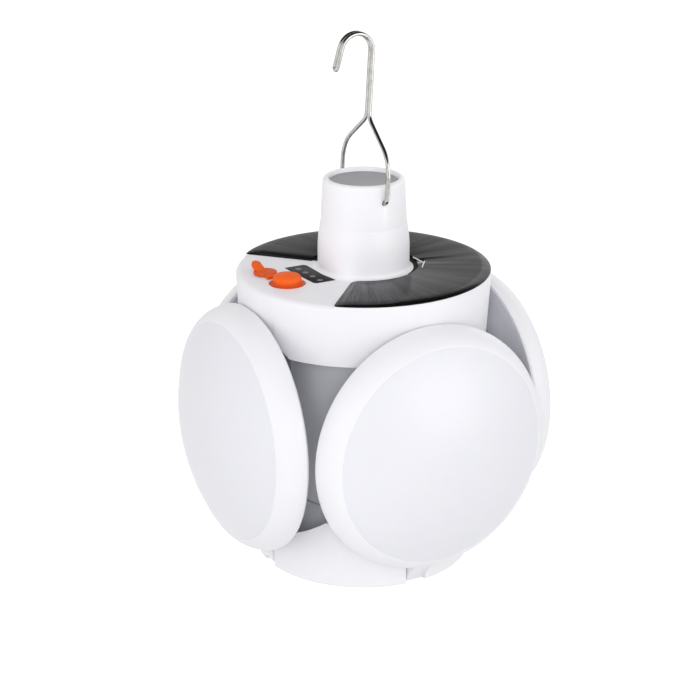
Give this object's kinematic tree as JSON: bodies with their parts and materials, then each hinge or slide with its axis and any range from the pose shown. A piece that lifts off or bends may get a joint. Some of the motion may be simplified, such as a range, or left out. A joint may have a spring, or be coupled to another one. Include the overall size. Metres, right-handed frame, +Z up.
{
  "type": "foldable solar led bulb",
  "caption": "Folding solar LED bulb: round petal lamps hinged to a base cup close around a core below a solar-topped head with a push button, charging port and swinging wire hook.",
  "frame": {"origin": "the seat of the hanging hook, on the lamp's axis: the point that a nail or cord carries", "axes": "+Z up along the lamp's axis, -X towards the quarter of the deck with the button and port, the hook's pivot along Y"},
  "size_m": [0.127, 0.127, 0.1899],
  "materials": {
    "shell_white": "satin moulded white plastic",
    "core_grey": "satin moulded grey plastic",
    "cap_grey": "satin grey disc",
    "diffuser_white": "frosted milk-white plastic",
    "solar_cells": "dark cells with fine lines under clear resin",
    "display_dark": "smoked clear plastic",
    "orange_rubber": "soft orange rubber",
    "hook_chrome": "bright plated wire",
    "screw_steel": "zinc-plated steel",
    "circuit_board": "green circuit board",
    "led_board_white": "white-coated aluminium board",
    "led_chip": "yellow phosphor on a white chip",
    "switch_black": "black plastic",
    "socket_nickel": "nickel-plated steel",
    "cell_wrap": null,
    "lead_white": "white insulated lead ends"
  },
  "bodies": {
    "hook": {"hanging_hook": "hook_chrome"},
    "lamp_body": {"head_shell": "shell_white", "neck_collar": "shell_white", "head_floor": "core_grey", "neck_sleeve": "shell_white", "neck_cap": "cap_grey", "solar_panel": "solar_cells", "solar_leads": "lead_white", "display_window": "display_dark", "indicator_leds": "led_chip", "control_board": "circuit_board", "board_screws": "screw_steel", "tact_switch": "switch_black", "charge_socket": "socket_nickel", "button_strap": "orange_rubber", "battery_cell": "cell_wrap", "battery_tabs": "socket_nickel", "core_housing": "core_grey", "housing_screws": "screw_steel", "base_hub": "core_grey", "base_screws": "screw_steel", "bottom_cup": "shell_white", "bottom_led_board": "led_board_white", "bottom_leds": "led_chip", "bottom_diffuser": "diffuser_white", "hinge_pins": "screw_steel"},
    "petal_front": {"petal_front_bezel": "shell_white", "petal_front_back": "core_grey", "petal_front_led_board": "led_board_white", "petal_front_leds": "led_chip", "petal_front_screws": "screw_steel", "petal_front_diffuser": "diffuser_white"},
    "petal_right": {"petal_right_bezel": "shell_white", "petal_right_back": "core_grey", "petal_right_led_board": "led_board_white", "petal_right_leds": "led_chip", "petal_right_screws": "screw_steel", "petal_right_diffuser": "diffuser_white"},
    "petal_back": {"petal_back_bezel": "shell_white", "petal_back_back": "core_grey", "petal_back_led_board": "led_board_white", "petal_back_leds": "led_chip", "petal_back_screws": "screw_steel", "petal_back_diffuser": "diffuser_white"},
    "petal_left": {"petal_left_bezel": "shell_white", "petal_left_back": "core_grey", "petal_left_led_board": "led_board_white", "petal_left_leds": "led_chip", "petal_left_screws": "screw_steel", "petal_left_diffuser": "diffuser_white"},
    "button": {"switch_button": "orange_rubber"},
    "plug": {"port_plug": "orange_rubber"}
  },
  "joints": [
    {"name": "lamp_swing", "type": "hinge", "parent": "hook", "child": "lamp_body", "pos_m": [0, 0, -0.0526], "axis": [0, 1, 0], "range_deg": [-95, 95]},
    {"name": "petal_front_fold", "type": "hinge", "parent": "lamp_body", "child": "petal_front", "pos_m": [0, -0.034, -0.17799], "axis": [1, 0, 0], "range_deg": [0, 90]},
    {"name": "petal_right_fold", "type": "hinge", "parent": "lamp_body", "child": "petal_right", "pos_m": [0.034, 0, -0.17799], "axis": [0, 1, 0], "range_deg": [0, 90]},
    {"name": "petal_back_fold", "type": "hinge", "parent": "lamp_body", "child": "petal_back", "pos_m": [0, 0.034, -0.17799], "axis": [-1, 0, 0], "range_deg": [0, 90]},
    {"name": "petal_left_fold", "type": "hinge", "parent": "lamp_body", "child": "petal_left", "pos_m": [-0.034, 0, -0.17799], "axis": [0, -1, 0], "range_deg": [0, 90]},
    {"name": "button_press", "type": "slide", "parent": "lamp_body", "child": "button", "axis": [0, 0, -1], "range_m": [0, 0.0008], "stiffness_N_per_m": 1000},
    {"name": "plug_open", "type": "hinge", "parent": "lamp_body", "child": "plug", "pos_m": [-0.033, 0.00447, -0.07669], "axis": [1, 0, 0], "range_deg": [0, 100]}
  ]
}
